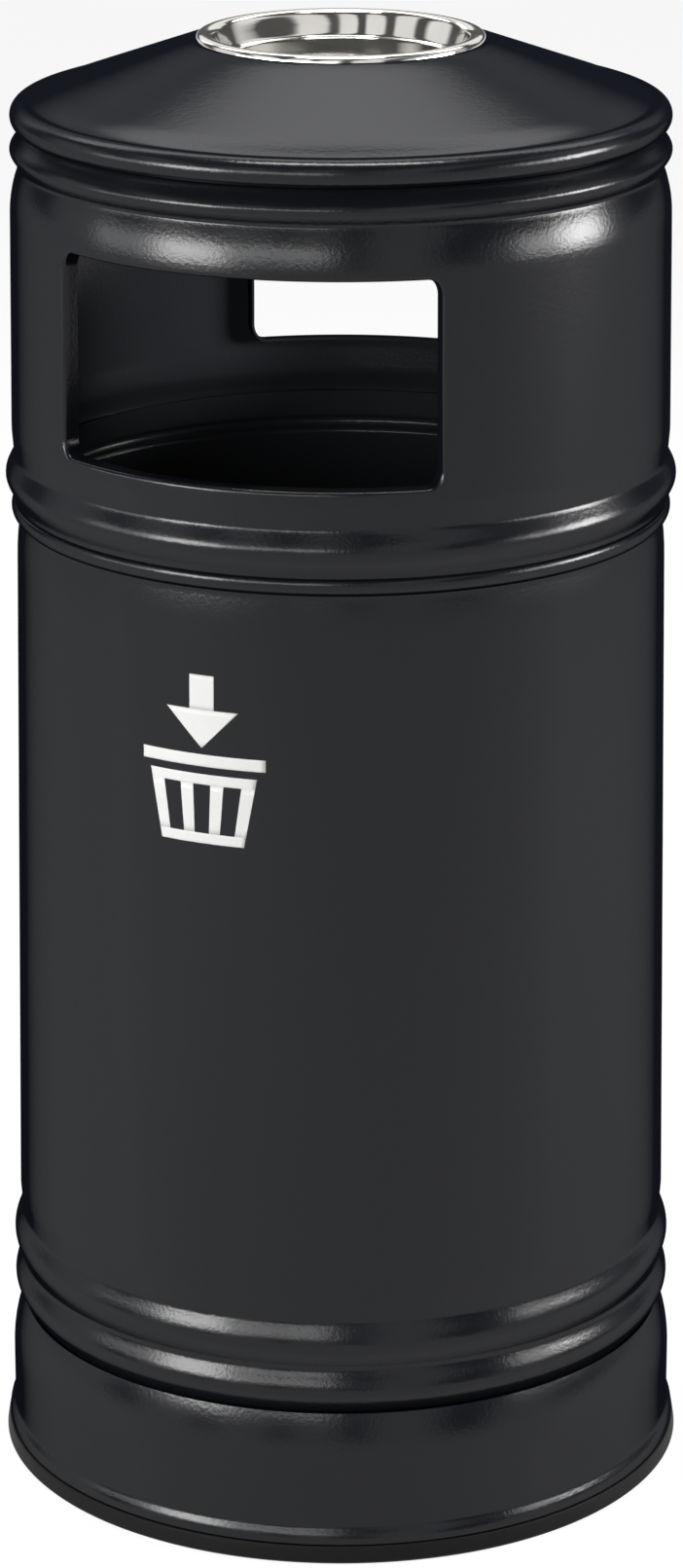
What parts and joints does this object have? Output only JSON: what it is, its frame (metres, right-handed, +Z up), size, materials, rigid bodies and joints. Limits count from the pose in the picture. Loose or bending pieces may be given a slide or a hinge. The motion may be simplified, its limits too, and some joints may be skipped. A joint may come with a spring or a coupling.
{
  "type": "outdoor litter bin with ash bowl",
  "caption": "Round outdoor litter bin with a lift-off hood, side apertures, a conical top with a lift-out ash bowl, and a lift-out liner with a bail handle.",
  "frame": {"origin": "on the ground, on the bin's axis", "axes": "+Z up along the bin's axis, -Y towards the front aperture, +X to the right seen from the front"},
  "size_m": [0.4103, 0.4104, 0.8591],
  "materials": {
    "black_powder_coat": "satin, finely pebbled powder coat",
    "polished_stainless": "polished stainless steel",
    "galvanised_steel": "galvanised, matt spangle",
    "rivet_steel": "plain rivet",
    "bail_wire": "drawn, zinc plated",
    "white_sign_film": "satin film",
    "foot_rubber": "matt"
  },
  "bodies": {
    "body": {"foot_ring": "foot_rubber", "base_skirt": "black_powder_coat", "body_shell": "black_powder_coat", "base_pan": "galvanised_steel", "base_rivets": "rivet_steel"},
    "hood": {"hood_wall": "black_powder_coat", "hood_cone": "black_powder_coat", "hood_rivets": "rivet_steel"},
    "ash_tray": {"ash_bowl": "polished_stainless"},
    "liner": {"liner_shell": "galvanised_steel", "liner_base": "galvanised_steel", "bail_ear_left": "galvanised_steel", "bail_ear_right": "galvanised_steel", "ear_rivets": "rivet_steel"},
    "bail": {"bail_handle": "bail_wire"}
  },
  "joints": [
    {"name": "hood_lift", "type": "slide", "parent": "body", "child": "hood", "axis": [0, 0, 1], "range_m": [0, 0.35]},
    {"name": "ash_bowl_lift", "type": "slide", "parent": "hood", "child": "ash_tray", "axis": [0, 0, 1], "range_m": [0, 0.1]},
    {"name": "liner_lift", "type": "slide", "parent": "body", "child": "liner", "axis": [0, 0, 1], "range_m": [0, 0.18]},
    {"name": "bail_swing", "type": "hinge", "parent": "liner", "child": "bail", "pos_m": [0, 0, 0.5409], "axis": [-1, 0, 0], "range_deg": [0, 180]}
  ]
}
